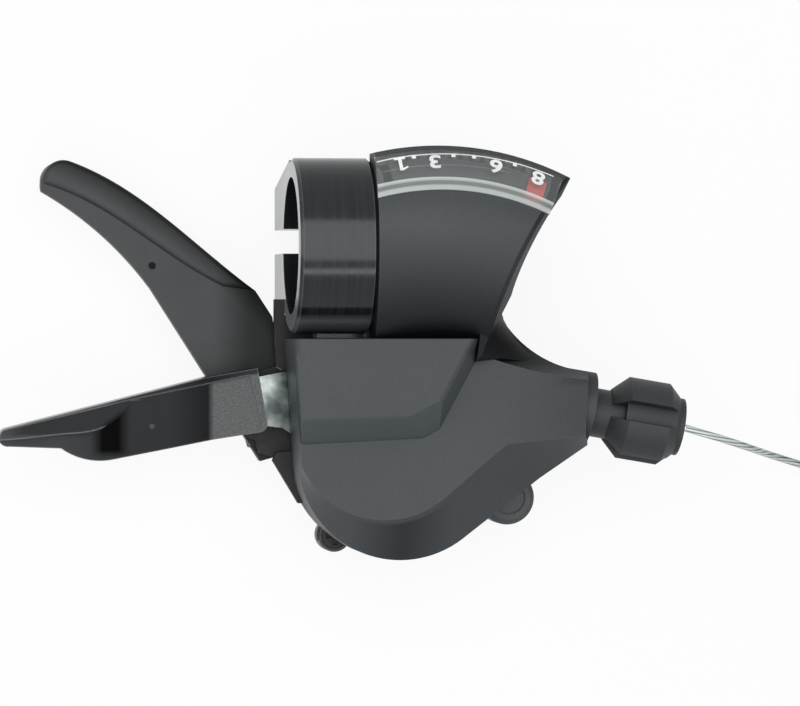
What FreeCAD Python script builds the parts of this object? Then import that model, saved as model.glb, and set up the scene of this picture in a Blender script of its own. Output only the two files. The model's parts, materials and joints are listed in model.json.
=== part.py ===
import FreeCAD, Part
import math
import os

V = FreeCAD.Vector

# A right-hand under-bar gear shifter with a gear window.
# Millimetres. The handlebar runs along X through the origin, +Y is the rider's side,
# +Z is up, and the gear cable leaves towards +X.

# Handlebar clamp
BAR_D = 22.2
BAR_R = BAR_D / 2
BAND_WALL = 3.1
BAND_R = BAR_R + BAND_WALL
BAND_W = 12.5
BAND_CHAMFER = 0.5
SPLIT = 4.0
SPLIT_Y = 0.9
EAR_T = 4.6
EAR_RIDER = 9.8
EAR_FRONT = 11.0
EAR_DROP = 9.6
EAR_SOFT = 0.7
CLAMP_BOLT_D = 5.0
CLAMP_BOLT_UP = 0.6
CLAMP_HEAD_D = 8.5
CLAMP_NUT_AF = 8.0
CLAMP_NUT_T = 3.2
FOOT_X = (-1.5, 6.25)
FOOT_Y = -20.5
FOOT_T = 5.0
FOOT_SCREW_D = 4.0

# Clearances
RUN_FIT = 0.05
PLATE_GAP = 0.3
BAR_AIR = 0.5
BAND_AIR = 0.5
SEAT = 0.05
WIRE_AIR = 0.4

# Pivots, seen from above
AXLE = (11.6, -34.1)
DIAL = (16.7, -31.1)
AXLE_D = 6.0
AXLE_HEAD_D = 9.6
AXLE_HEAD_T = 1.3

# Gear steps and the cable that they pull
GEARS = 8
CABLE_D = 1.2
CABLE_ARM = 12.4
CABLE_TILT = 9.8
CABLE_Z = -2.5
PULL_PER_GEAR = 2.8
GEAR_STEP = math.degrees(PULL_PER_GEAR / CABLE_ARM)
DRUM_TURN = GEAR_STEP * (GEARS - 1)
LEVER_GEARS = 3

# The stack on the main axle, from the drum down
DRUM_H = 5.6
DRUM_RIM = 1.7
DRUM_D = 2 * (CABLE_ARM + DRUM_RIM)
RATCHET_T = 1.8
RATCHET_STEP = 4.1
RATCHET_D = DRUM_D - 2 * RATCHET_STEP
TOOTH_H = 1.2
RELEASE_T = 1.5
BASE_T = 1.7
LEVER_T = 1.6
FLOOR_T = 1.3
CLIP_T = 1.2
CLIP_D = 9.2
DRUM_BOT = CABLE_Z - DRUM_H / 2
DRUM_TOP = CABLE_Z + DRUM_H / 2
RATCHET_BOT = DRUM_BOT - RATCHET_T
RELEASE_TOP = RATCHET_BOT - PLATE_GAP
RELEASE_BOT = RELEASE_TOP - RELEASE_T
BASE_TOP = RELEASE_BOT - PLATE_GAP
BASE_BOT = BASE_TOP - BASE_T
LEVER_TOP = BASE_BOT - PLATE_GAP
LEVER_BOT = LEVER_TOP - LEVER_T
HEAD_TOP = LEVER_BOT - 0.15
FLOOR_TOP = HEAD_TOP - AXLE_HEAD_T - PLATE_GAP
FLOOR_BOT = FLOOR_TOP - FLOOR_T

# Pawls, each pivot as a radius and an angle about the main axle
PAWL_PIN_D = 2.4
PAWL_BOSS_D = 3.8
PAWL_AIR = 0.25
HOLD_AT = 84.0
HOLD_REACH = 4.0
HOLD_PIVOT = (RATCHET_D / 2 + HOLD_REACH, 52.0)
WIND_NOTCH = 10
WIND_REACH = 3.2
WIND_PIVOT = (RATCHET_D / 2 + WIND_REACH, -74.0)
PAWL_LIFT = 0.35
NOTCH_W = 10.0
NOTCH_FLOOR_W = 6.4
NOTCH_AIR = 0.2

# Mouldings
WALL = 1.4
CASE_INSET = 0.25
POD_AIR = 0.3
POD_R = WIND_PIVOT[0] + PAWL_BOSS_D / 2 + POD_AIR + WALL
POD_LEFT = -6.6
POD_TOP = -14.9
HOOD_X = BAND_W / 2 + SEAT
Z_BEVEL = 0.6
Z_FLAT = 6.4
Z_PLATEAU = 10.2
PLATEAU_SOFT = 0.9
Z_SHOULDER = 8.6
NOSE_X = 42.3
NOSE_D = 12.0
NOSE_UP = 0.45
NOSE_ROLL = 80.0
NOSE_ROLL_X = 24.0
NOSE_FLANGE = 0.9
COLLAR_D = 8.8
COLLAR_L = 8.0
SCREW_D = 3.0
SCREW_HEAD_D = 5.2
SCREW_HEAD_T = 1.5
BOSS_D = 6.0
SCREWS = [(32.0, -31.0), (24.5, -17.2)]

# Gear window, as radii from the dial centre and heights
HOOD_OVER = 4.9
HOOD_R = BAR_R + HOOD_OVER - DIAL[1]
RIM_W = 0.7
RIM_FALL = 2.0
WINDOW_W = 6.6
WINDOW_RISE = 4.0
WINDOW_OUT = (HOOD_R - RIM_W, BAR_R - RIM_FALL)
WINDOW_IN = (WINDOW_OUT[0] - WINDOW_W, WINDOW_OUT[1] + WINDOW_RISE)
CROWN_RISE = 1.1
WINDOW_BEVEL = 2.2
WINDOW_T = 1.2
HOOD_RIGHT = 63.0
TRACK_EDGE = 1.7
TRACK_W = 4.3
POINTER_T = 0.7
POINTER_W = 3.8
GEAR_8_AT = 68.9
GEAR_1_AT = 98.0
HOOD_LIP_Z = 2.0
HOOD_ROOT_R = 14.0
HOOD_TILT = 20.0

# Barrel adjuster, along the cable line from the nose's end face
BOLT_D = 6.0
NECK_D = 8.0
NECK_L = 2.6
KNOB_D = 13.5
KNOB_L = 11.4
KNOB_LOBES = 4
KNOB_TURN = 159.0
KNOB_FLUTE = 30.0
KNOB_FLUTE_R = 5.5
KNOB_POCKET = 2.3
KNOB_BACK = (2.7, 2.5)
KNOB_FRONT = (1.9, 1.8)
KNOB_END_D = 9.4
KNOB_END_L = 0.9

# Levers
LEVER_ARM_TOP = -13.2
LEVER_WEB_T = 3.2
PAD_BOT = -24.0
PAD_RISE = 0.7
PAD_SOFT = 0.9
GRIP_ABOVE = 3.4
GRIP_BELOW = 1.5
SCOOP_FALL = 7.0
RIVET_D = 3.0
RIVET_HEAD_D = 4.6
RIVET_HEAD_T = 0.7

# Gear cable: its steel wire is straight as far as the adjuster, then runs down to the level of
# the lowest piece and is wound into a tied coil
INNER_CABLE_L = 2050.0
CABLE_ROUTE = [(64.7, -31.3, -2.9), (69.7, -32.8, -5.9), (73.0, -33.7, -10.8), (75.7, -34.4, -16.1),
               (80.0, -35.6, -20.1), (86.6, -37.6, -22.3), (93.0, -39.6, -22.9)]
COIL_MEAN_D = 18 * CABLE_D
COIL_ROWS = 5
TIE_T = 0.5
TIE_TURN = 14.0
END_CAP_D = 2.0
END_CAP_L = 8.0

# Cable nipple and caps
HEAD_D = 4.0
HEAD_L = 4.2
HATCH_D = 8.2
HATCH_T = 1.4
HATCH_STEM_D = 3.0
HATCH_OUT = 3.8
HATCH_AT = -20.4
BASE_SCREW_D = 4.8
BASE_SHANK_D = 2.0
BASE_SCREW_IN = 0.5
BASE_SCREW_AT = 234.6
CAP_AIR = 0.5

AX = V(AXLE[0], AXLE[1], 0)
DX = V(DIAL[0], DIAL[1], 0)
UP = V(0, 0, 1)
TILT = math.radians(CABLE_TILT)
CABLE_DIR = V(math.cos(TILT), -math.sin(TILT), 0)
CABLE_FOOT = V(AXLE[0] + CABLE_ARM * math.sin(TILT), AXLE[1] + CABLE_ARM * math.cos(TILT), CABLE_Z)
NOSE = CABLE_FOOT + CABLE_DIR * ((NOSE_X - CABLE_FOOT.x) / CABLE_DIR.x)
NOSE_Y = NOSE.y + NOSE_UP


def box(x, y, z):
    return Part.makeBox(x[1] - x[0], y[1] - y[0], z[1] - z[0], V(x[0], y[0], z[0]))


def cyl(d, z0, z1, at=AX):
    return Part.makeCylinder(d / 2, z1 - z0, V(at.x, at.y, z0))


def flat_wire(points, z):
    ring = [V(x, y, z) for x, y in points]
    return Part.makePolygon(ring + ring[:1])


def plate(points, z0, z1):
    return Part.Face(flat_wire(points, z0)).extrude(V(0, 0, z1 - z0))


def about_axle(r, degrees):
    a = math.radians(degrees)
    return AX.x + r * math.cos(a), AX.y + r * math.sin(a)


def arc_wire(start, steps, z):
    """A closed wire of straight steps (end) and arc steps (via, end)."""
    edges = []
    here = V(start[0], start[1], z)
    for step in steps:
        points = [V(x, y, z) for x, y in step]
        if len(points) == 2:
            edges.append(Part.Arc(here, points[0], points[1]).toShape())
        else:
            edges.append(Part.LineSegment(here, points[0]).toShape())
        here = points[-1]
    first = V(start[0], start[1], z)
    if here.distanceToPoint(first) > 0.001:
        edges.append(Part.LineSegment(here, first).toShape())
    return Part.Wire(edges)


def sector(r0, r1, a0, a1, z0, z1, at=AX):
    """A slice of a ring about an upright axis."""
    ring = [V(r0, 0, z0), V(r1, 0, z0), V(r1, 0, z1), V(r0, 0, z1)]
    face = Part.Face(Part.makePolygon(ring + ring[:1]))
    solid = face.revolve(V(0, 0, 0), UP, a1 - a0)
    solid.rotate(V(0, 0, 0), UP, a0)
    solid.translate(V(at.x, at.y, 0))
    return solid


def dial_sector(profile, a0, a1):
    """A slice turned about the dial centre, from points of radius and height."""
    ring = [V(r, 0, z) for r, z in profile]
    solid = Part.Face(Part.makePolygon(ring + ring[:1])).revolve(V(0, 0, 0), UP, a1 - a0)
    solid.rotate(V(0, 0, 0), UP, a0)
    solid.translate(DX)
    return solid


def on_cable_line(shape):
    shape.Placement = FreeCAD.Placement(NOSE, FreeCAD.Rotation(UP, CABLE_DIR))
    return shape


def tube(d, bore, w0, w1):
    """A tube about the cable line, from the nose's end face outwards."""
    shape = Part.makeCylinder(d / 2, w1 - w0, V(0, 0, w0))
    if bore:
        shape = shape.cut(Part.makeCylinder(bore / 2, w1 - w0 + 2, V(0, 0, w0 - 1)))
    return on_cable_line(shape)


def hexagon(across_flats, h):
    r = across_flats / math.sqrt(3)
    ring = [V(r * math.cos(k * math.pi / 3), r * math.sin(k * math.pi / 3), 0) for k in range(7)]
    return Part.Face(Part.makePolygon(ring)).extrude(V(0, 0, h))


def coil_spring(mean_d, wire_d, turns, z0, at=AX):
    pitch = wire_d * 1.12
    helix = Part.makeHelix(pitch, pitch * turns, mean_d / 2)
    section = Part.Wire(Part.makeCircle(wire_d / 2, V(mean_d / 2, 0, 0), V(0, 1, 0)))
    spring = Part.Wire(helix).makePipeShell([section], True, True)
    spring.translate(V(at.x, at.y, z0 + wire_d / 2))
    return spring


# Pod mouldings

def skirt_wire(z, inset=0.0):
    left = AXLE[0] - POD_R
    low = math.radians(306.6)
    tangent = (AXLE[0] + POD_R * math.cos(low), AXLE[1] + POD_R * math.sin(low))
    wire = arc_wire((POD_LEFT, POD_TOP), [
        [(left, AXLE[1])],
        [about_axle(POD_R, 243), tangent],
        [(34.4, -37.7)],
        [(NOSE_X, NOSE_Y - NOSE_D / 2)],
        [(NOSE_X, NOSE_Y + NOSE_D / 2)],
        [(33.0, -16.9), (28.6, -12.4)],
        [(HOOD_X + 0.4, -12.4)],
        [(HOOD_X + 0.4, POD_TOP)]], z)
    return wire.makeOffset2D(-inset, 2) if inset else wire


def flat_top_wire(z, inset=0.0):
    wire = arc_wire((POD_LEFT, POD_TOP), [
        [(-5.2, -35.6)],
        [(5.2, -43.8), (18.2, -40.4)],
        [(28.1, -31.9)],
        [(NOSE_X - 1.5, NOSE_Y - NOSE_D * 0.28)],
        [(NOSE_X - 0.8, NOSE_Y + NOSE_D * 0.34)],
        [(30.0, -19.7), (23.9, -17.6)],
        [(HOOD_X + 0.4, -14.0)],
        [(HOOD_X + 0.4, POD_TOP)]], z)
    return wire.makeOffset2D(-inset, 2) if inset else wire


def pod(inset, drop):
    """The pod's form: an upright skirt, then a bevel up to the flat top."""
    skirt = skirt_wire(BASE_TOP, inset)
    low = Part.Face(skirt).extrude(V(0, 0, Z_BEVEL - BASE_TOP))
    high = Part.makeLoft([skirt_wire(Z_BEVEL, inset), flat_top_wire(Z_FLAT - drop, inset)], True, True)
    return low.fuse(high)


def plateau():
    """The raised field by the clamp, with a sloped step down to the flat top and softened upper edges."""
    foot = flat_wire([(POD_LEFT, POD_TOP), (-5.1, -32.6), (14.8, -31.6), (17.1, -30.3), (25.4, POD_TOP)],
                     Z_FLAT - 0.6)
    top = flat_wire([(POD_LEFT, POD_TOP), (-5.8, -28.0), (12.1, -27.5), (17.0, -25.0), (22.1, POD_TOP)],
                    Z_PLATEAU)
    field = Part.makeLoft([foot, top], True, True)
    return field.makeFillet(PLATEAU_SOFT, [e for e in field.Edges if e.BoundBox.ZMin > Z_PLATEAU - 0.01
                                           and e.BoundBox.YMin < POD_TOP - 1])


def shoulder():
    """The hollow curve where the hood's right side runs into the pod."""
    low = arc_wire((23.0, -19.0), [
        [(37.6, -19.6)],
        [(32.6, -17.0), (28.4, -11.8)],
        [(28.6, -10.4)],
        [(25.0, -10.4)]], Z_BEVEL)
    high = arc_wire((22.8, -18.6), [
        [(23.7, -17.6)],
        [(25.0, -14.0), (26.4, -10.9)],
        [(26.8, -10.0)],
        [(24.0, -10.0)]], Z_SHOULDER)
    return Part.makeLoft([low, high], True, True)


def nose_slope(depth):
    """What the pod loses where its top rolls down to the cable nose, below that top by a depth."""
    top = Z_FLAT - depth
    above = box((NOSE_ROLL_X, NOSE_X + 8), (NOSE_Y - 30, NOSE_Y + 30), (top - 5, top + 20))
    roll = Part.makeCylinder(NOSE_ROLL, 80, V(NOSE_ROLL_X, NOSE_Y - 40, top - NOSE_ROLL), V(0, 1, 0))
    return above.cut(roll)


def window_top(r):
    """Height of the window's face at a radius from the dial centre."""
    slope = (WINDOW_IN[1] - WINDOW_OUT[1]) / (WINDOW_OUT[0] - WINDOW_IN[0])
    return WINDOW_OUT[1] + slope * (WINDOW_OUT[0] - r)


def dial_layer(r0, r1, top, bottom, a0, a1):
    """A slice that follows the window's face, between two depths below it."""
    return dial_sector([(r0, window_top(r0) - top), (r1, window_top(r1) - top),
                        (r1, window_top(r1) - bottom), (r0, window_top(r0) - bottom)], a0, a1)


def hood():
    """The curved bridge over the handlebar that carries the gear window."""
    rim = WINDOW_OUT[1] - 0.7
    top = WINDOW_IN[1] + CROWN_RISE
    crown = Part.BSplineCurve()
    over = [WINDOW_IN, (WINDOW_IN[0] - 4.6, top), (WINDOW_IN[0] - 9.4, top), (25.0, top - 1.3),
            (19.0, top - 4.9), (HOOD_ROOT_R, 4.6)]
    under = [(HOOD_ROOT_R, 4.6), (HOOD_ROOT_R, HOOD_LIP_Z), (HOOD_R, HOOD_LIP_Z), (HOOD_R, rim),
             WINDOW_OUT, WINDOW_IN]
    crown.interpolate([V(r, 0, z) for r, z in over])
    sides = Part.makePolygon([V(r, 0, z) for r, z in under])
    profile = Part.Face(Part.Wire([crown.toShape()] + sides.Edges))
    form = profile.revolve(V(0, 0, 0), UP, 130.0 - HOOD_RIGHT)
    form.rotate(V(0, 0, 0), UP, HOOD_RIGHT)
    form.translate(DX)
    form = form.cut(box((-60, HOOD_X), (-60, 60), (-60, 60)))
    wedge = box((-10, 70), (-40, 0), (0, 30))
    wedge.rotate(V(0, 0, 0), V(1, 0, 0), -HOOD_TILT)
    wedge.translate(V(0, 0, rim))
    wedge.rotate(V(0, 0, 0), UP, HOOD_RIGHT)
    wedge.translate(DX)
    return form.cut(wedge)


def window_form(grow=0.0):
    """The clear window: a conical slice with a bevelled inner edge."""
    r_in = WINDOW_IN[0] - grow
    r_out = WINDOW_OUT[0] + grow
    r_bevel = WINDOW_IN[0] + WINDOW_BEVEL
    profile = [(r_out, window_top(r_out)), (r_bevel, window_top(r_bevel)),
               (r_in, window_top(r_in) - 0.45 + (1.0 if grow else 0.0)),
               (r_in, window_top(r_in) - WINDOW_T), (r_out, window_top(r_out) - WINDOW_T)]
    if grow:
        profile[0] = (r_out, window_top(r_out) + 1)
        profile[1] = (r_bevel, window_top(r_bevel) + 1)
    form = dial_sector(profile, HOOD_RIGHT + 1.4 - grow, 125.0)
    return form.cut(box((-60, HOOD_X - grow), (-60, 60), (-60, 60)))


def pointer_layer(air):
    top = WINDOW_T + PLATE_GAP - air
    bottom = WINDOW_T + PLATE_GAP + POINTER_T + air
    half = POINTER_W / 2
    outer = WINDOW_OUT[0] - TRACK_EDGE
    inner = outer - TRACK_W
    if air:
        return dial_layer(inner, outer, top - 0.2, bottom, GEAR_8_AT - half - 0.8, GEAR_1_AT + half + 0.8)
    return dial_layer(inner + PLATE_GAP, outer - PLATE_GAP, top, bottom, GEAR_8_AT - half, GEAR_8_AT + half)


def upper_cover():
    outer = pod(0, 0).cut(nose_slope(0)).fuse(plateau()).fuse(shoulder()).fuse(hood())
    flange = tube(NOSE_D, 0, -12, NOSE_FLANGE)
    flange.translate(V(0, NOSE_UP, 0))
    outer = outer.fuse(flange)
    cover = outer.cut(pod(WALL, WALL).cut(nose_slope(WALL)))
    inner_plateau = box((-4.0, 12.0), (-25.5, POD_TOP - WALL), (0, Z_PLATEAU - WALL))
    cover = cover.cut(inner_plateau)
    nose_inside = tube(NOSE_D - 0.4, 0, -COLLAR_L - 1.5, 0)
    nose_inside.translate(V(0, NOSE_UP, 0))
    bosses = [cyl(BOSS_D, BASE_TOP, Z_FLAT, V(x, y, 0)) for x, y in SCREWS]
    for solid in bosses + [nose_inside]:
        cover = cover.fuse(solid.common(outer))
    for x, y in SCREWS:
        cover = cover.cut(cyl(SCREW_D, BASE_TOP - 1, BASE_TOP + 7, V(x, y, 0)))
    cover = cover.cut(tube(COLLAR_D, 0, -COLLAR_L, NOSE_FLANGE + 1))
    cover = cover.cut(tube(CABLE_D + 2 * WIRE_AIR + 1.2, 0, -20, 1))
    bar = Part.makeCylinder(BAR_R + BAR_AIR, 120, V(-40, 0, 0), V(1, 0, 0))
    cover = cover.cut(bar)
    cover = cover.cut(window_form(SEAT)).cut(pointer_layer(PLATE_GAP))
    lever_slot = sector(13.0, 30.0, 126, 192, BASE_TOP - 1, RELEASE_TOP + PLATE_GAP)
    foot_door = box((FOOT_X[0] - 0.3, FOOT_X[1] + 0.3), (POD_TOP - WALL - 1, POD_TOP + 1),
                    (BASE_TOP - 1, BASE_TOP + FOOT_T + 0.3))
    return cover.cut(lever_slot).cut(foot_door)


def lower_casing():
    outer = Part.Face(skirt_wire(FLOOR_BOT, CASE_INSET)).extrude(V(0, 0, BASE_TOP - 0.1 - FLOOR_BOT))
    hollow = Part.Face(skirt_wire(FLOOR_TOP, CASE_INSET + WALL - 0.3))
    casing = outer.cut(hollow.extrude(V(0, 0, BASE_TOP - FLOOR_TOP)))
    for x, y in SCREWS:
        casing = casing.fuse(cyl(BOSS_D, FLOOR_TOP, BASE_BOT, V(x, y, 0)))
    for place, d in ((hatch_at(), HATCH_D + 0.8), (base_screw_at(), BASE_SCREW_D + 0.6)):
        ear = cyl(d, FLOOR_BOT, BASE_BOT, place)
        casing = casing.fuse(ear.cut(hollow.extrude(V(0, 0, 20))))
    casing = casing.cut(sector(14.0, 40.0, 136, 230, LEVER_BOT - PLATE_GAP, BASE_TOP))
    casing = casing.cut(box((POD_LEFT - 2, 6.0), (POD_TOP - 4, POD_TOP + 2), (LEVER_BOT, BASE_TOP)))
    for x, y in SCREWS:
        at = V(x, y, 0)
        casing = casing.cut(cyl(SCREW_HEAD_D + 0.4, FLOOR_BOT - 1, FLOOR_TOP + 0.4, at))
        casing = casing.cut(cyl(SCREW_D + 0.2, FLOOR_BOT, BASE_TOP, at))
    for place, d in ((hatch_at(), HATCH_STEM_D), (base_screw_at(), BASE_SHANK_D)):
        casing = casing.cut(cyl(d, BASE_BOT - 4, BASE_TOP, place))
    return casing


def base_plate():
    """The steel plate that carries the levers, with a tab under the clamp and a wing left of the pod."""
    base = Part.Face(skirt_wire(BASE_BOT, CASE_INSET + WALL)).extrude(V(0, 0, BASE_T))
    side = -BAND_W / 2 - SEAT
    end = -EAR_FRONT - SEAT
    tab = [(-7.9, -8.6), (-7.9, -15.5), (-7.6, -19.6), (-3.0, -22.0), (3.0, -18.0), (3.0, end),
           (side, end), (side, -8.6)]
    base = base.fuse(plate(tab, BASE_BOT, BASE_TOP))
    base = base.fuse(plate([(-8.2, -35.0), (-7.6, -33.7), (-1.0, -33.0), (-1.0, -42.0), (-4.0, -42.0)],
                           BASE_BOT, BASE_TOP))
    base = base.cut(cyl(AXLE_D, BASE_BOT - 1, BASE_TOP + 1))
    base = base.cut(sector(10.6, 40.0, WIND_PIVOT[1] - 14, WIND_PIVOT[1] + 52, BASE_BOT - 1, BASE_TOP + 1))
    for x, y in SCREWS:
        base = base.cut(cyl(SCREW_D + 0.2, BASE_BOT - 1, BASE_TOP + 1, V(x, y, 0)))
    for place, d in ((hatch_at(), HATCH_D), (base_screw_at(), BASE_SCREW_D)):
        base = base.cut(cyl(d + 2 * CAP_AIR, BASE_BOT - 1, BASE_TOP + 1, place))
    x, y = about_axle(*HOLD_PIVOT)
    base = base.cut(cyl(PAWL_PIN_D, BASE_BOT - 1, BASE_TOP + 1, V(x, y, 0)))
    return base.cut(cyl(FOOT_SCREW_D, BASE_BOT - 1, BASE_TOP + 1, foot_screw_at()))


def foot_screw_at():
    return V((FOOT_X[0] + FOOT_X[1]) / 2, FOOT_Y + 3.2, 0)


def hatch_at():
    return V(*about_axle(POD_R + HATCH_OUT, HATCH_AT), 0)


def base_screw_at():
    return V(*about_axle(POD_R - BASE_SCREW_IN, BASE_SCREW_AT), 0)


# Handlebar clamp pieces

def clamp_bolt_at():
    return V(0, SPLIT_Y, -BAND_R - EAR_DROP / 2 + CLAMP_BOLT_UP)


def along_y(shape, y):
    """Turns an upright piece to point along -Y from a height y on the clamp bolt's line."""
    at = clamp_bolt_at()
    shape.rotate(V(0, 0, 0), V(1, 0, 0), 90)
    shape.translate(V(at.x, y, at.z))
    return shape


def ear_faces():
    return SPLIT_Y + SPLIT / 2 + EAR_T, SPLIT_Y - SPLIT / 2 - EAR_T


def clamp_band():
    half = BAND_W / 2
    axis = V(1, 0, 0)
    band = Part.makeCylinder(BAND_R, BAND_W, V(-half, 0, 0), axis)
    band = band.makeChamfer(BAND_CHAMFER, [e for e in band.Edges if e.BoundBox.XLength < 0.01])
    rider, front = ear_faces()
    low = -BAND_R - EAR_DROP
    outline = [(0.98 * BAND_R, -0.17 * BAND_R), (EAR_RIDER, low), (-EAR_FRONT, low),
               (-EAR_FRONT, -0.63 * BAND_R), (-0.4 * BAND_R, -0.17 * BAND_R)]
    ring = [V(-half, y, z) for y, z in outline]
    ears = Part.Face(Part.makePolygon(ring + ring[:1])).extrude(V(BAND_W, 0, 0))
    ears = ears.makeFillet(EAR_SOFT, [e for e in ears.Edges if e.BoundBox.ZMax < low + 0.01
                                      and e.BoundBox.XLength > 1])
    foot = box(FOOT_X, (FOOT_Y, -BAR_R), (BASE_TOP, BASE_TOP + FOOT_T))
    band = band.fuse(ears).fuse(foot)
    band = band.cut(Part.makeCylinder(BAR_R, BAND_W + 2, V(-half - 1, 0, 0), axis))
    band = band.cut(box((-half - 1, half + 1), (SPLIT_Y - SPLIT / 2, SPLIT_Y + SPLIT / 2), (-40, 0)))
    hole = along_y(Part.makeCylinder(CLAMP_BOLT_D / 2, rider - front + 2, V(0, 0, 0)), rider + 1)
    seat = along_y(Part.makeCylinder(CLAMP_HEAD_D / 2 + 0.2, 10), rider + 10)
    pocket = along_y(hexagon(CLAMP_NUT_AF, 10), front + CLAMP_NUT_T)
    band = band.cut(hole).cut(seat).cut(pocket)
    return band.cut(cyl(FOOT_SCREW_D, BASE_TOP - 1, BASE_TOP + FOOT_T - 1, foot_screw_at()))


def clamp_bolt():
    rider, front = ear_faces()
    shank = Part.makeCylinder(CLAMP_BOLT_D / 2, rider - front)
    head = Part.makeCylinder(CLAMP_HEAD_D / 2, CLAMP_BOLT_D, V(0, 0, -CLAMP_BOLT_D))
    head = head.makeChamfer(0.4, [e for e in head.Edges if e.BoundBox.ZMax < -CLAMP_BOLT_D + 0.01])
    socket = hexagon(CLAMP_BOLT_D * 0.8, 3.0)
    socket.translate(V(0, 0, -CLAMP_BOLT_D))
    return along_y(shank.fuse(head).cut(socket), rider)


def clamp_nut():
    front = ear_faces()[1]
    nut = hexagon(CLAMP_NUT_AF, CLAMP_NUT_T).cut(Part.makeCylinder(CLAMP_BOLT_D / 2, CLAMP_NUT_T))
    return along_y(nut, front + CLAMP_NUT_T)


def pan_screw(d, head_d, head_t, head_z, length, at, up=True):
    """A screw with a rounded head, standing on head_z and reaching up or down from it."""
    head = Part.makeCylinder(head_d / 2, head_t, V(0, 0, -head_t))
    head = head.makeFillet(head_t * 0.6, [e for e in head.Edges if e.BoundBox.ZMax < -head_t + 0.01])
    slot = box((-head_d, head_d), (-0.4, 0.4), (-head_t - 1, -head_t * 0.5))
    slot = slot.common(Part.makeCylinder(head_d * 0.32, 10, V(0, 0, -5)))
    cross = slot.copy()
    cross.rotate(V(0, 0, 0), UP, 90)
    screw = head.fuse(Part.makeCylinder(d / 2, length)).cut(slot).cut(cross)
    if not up:
        screw.rotate(V(0, 0, 0), V(1, 0, 0), 180)
    screw.translate(V(at.x, at.y, head_z))
    return screw


# The drum, its ratchet and the axle

def main_axle():
    head = cyl(AXLE_HEAD_D, HEAD_TOP - AXLE_HEAD_T, HEAD_TOP)
    return head.fuse(cyl(AXLE_D, HEAD_TOP, DRUM_TOP + CLIP_T + 1.0))


def axle_clip():
    clip = cyl(CLIP_D, DRUM_TOP + PLATE_GAP, DRUM_TOP + PLATE_GAP + CLIP_T)
    mouth = box((AX.x, AX.x + CLIP_D), (AX.y - AXLE_D * 0.32, AX.y + AXLE_D * 0.32), (-10, 10))
    return clip.cut(cyl(AXLE_D, -10, 10)).cut(mouth)


def cable_drum():
    drum = cyl(DRUM_D, DRUM_BOT, DRUM_TOP)
    groove_w = CABLE_D + 2 * WIRE_AIR
    floor_d = 2 * (CABLE_ARM - CABLE_D / 2 - WIRE_AIR)
    groove = cyl(DRUM_D + 2, CABLE_Z - groove_w / 2, CABLE_Z + groove_w / 2)
    drum = drum.cut(groove.cut(cyl(floor_d, -20, 20)))
    drum = drum.cut(cyl(AXLE_D + 2 * RUN_FIT, -20, 20))
    well = cyl(17.6, DRUM_TOP - 2.2, DRUM_TOP + 1).cut(cyl(AXLE_D + 4.2, -20, 20))
    drum = drum.cut(well)
    return drum.cut(cyl(HEAD_D, DRUM_BOT + 0.6, DRUM_TOP + 1, cable_head_at()))


def cable_head_at():
    turn = 90 - CABLE_TILT + math.degrees((HEAD_D / 2 + WIRE_AIR) / CABLE_ARM)
    x, y = about_axle(CABLE_ARM - 0.6, turn)
    return V(x, y, 0)


def cable_head():
    return cyl(HEAD_D, DRUM_BOT + 0.6, DRUM_BOT + 0.6 + HEAD_L, cable_head_at())


def notch_at(k):
    return HOLD_AT - k * GEAR_STEP


def ratchet_wheel():
    """Ratchet disc with one notch for each gear under both pawls."""
    tip = RATCHET_D / 2
    wheel = cyl(RATCHET_D, RATCHET_BOT, DRUM_BOT).cut(cyl(AXLE_D + 2 * RUN_FIT, -20, 20))
    for k in range(WIND_NOTCH + GEARS):
        a = notch_at(k)
        deep = tip - TOOTH_H - NOTCH_AIR
        floor = NOTCH_FLOOR_W / 2
        mouth = NOTCH_W / 2
        wheel = wheel.cut(plate([about_axle(deep, a - floor), about_axle(tip + 1.5, a - mouth),
                                 about_axle(tip + 1.5, a + mouth), about_axle(deep, a + floor)],
                                RATCHET_BOT - 1, DRUM_BOT + 1))
    return wheel


# Pawls, drawn lifted just clear of the teeth

def pawl_levels():
    return RATCHET_BOT + PAWL_AIR, DRUM_BOT - PAWL_AIR


def pawl_pin(pivot, z0):
    x, y = about_axle(*pivot)
    return cyl(PAWL_PIN_D, z0, pawl_levels()[1], V(x, y, 0))


def pawl(pivot, tip_at):
    """A pawl on its boss: a narrow nose under an arm that stays clear of the wheel's rim."""
    z0, z1 = pawl_levels()
    tip = RATCHET_D / 2 + PAWL_LIFT
    heel = tip + TOOTH_H + PAWL_LIFT
    side = 1 if tip_at > pivot[1] else -1
    px, py = about_axle(*pivot)
    half = PAWL_BOSS_D / 2
    outline = [about_axle(tip, tip_at + side * 1.0), about_axle(tip, tip_at - side * 1.0),
               about_axle(heel, tip_at - side * 2.2), about_axle(pivot[0] - half + 0.1, pivot[1]),
               (px, py), about_axle(pivot[0] + half - 0.3, pivot[1] + side * 3),
               about_axle(heel + 1.5, tip_at - side * 1.0), about_axle(heel, tip_at + side * 2.2)]
    at = V(px, py, 0)
    return plate(outline, z0, z1).fuse(cyl(PAWL_BOSS_D, z0, z1, at)).cut(
        cyl(PAWL_PIN_D + 2 * RUN_FIT, z0 - 1, z1 + 1, at))


# Levers

def release_outline():
    return [(8.0, -28.6), (-2.9, -25.0), (-6.3, -20.4), (-14.5, -22.0), (-15.5, -28.5), (-6.8, -29.6),
            (6.0, -38.0)]


def release_lever_plate():
    arm = plate(release_outline(), RELEASE_BOT, RELEASE_TOP)
    return arm.fuse(cyl(13.0, RELEASE_BOT, RELEASE_TOP)).cut(cyl(AXLE_D + 2 * RUN_FIT, -20, 20))


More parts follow.
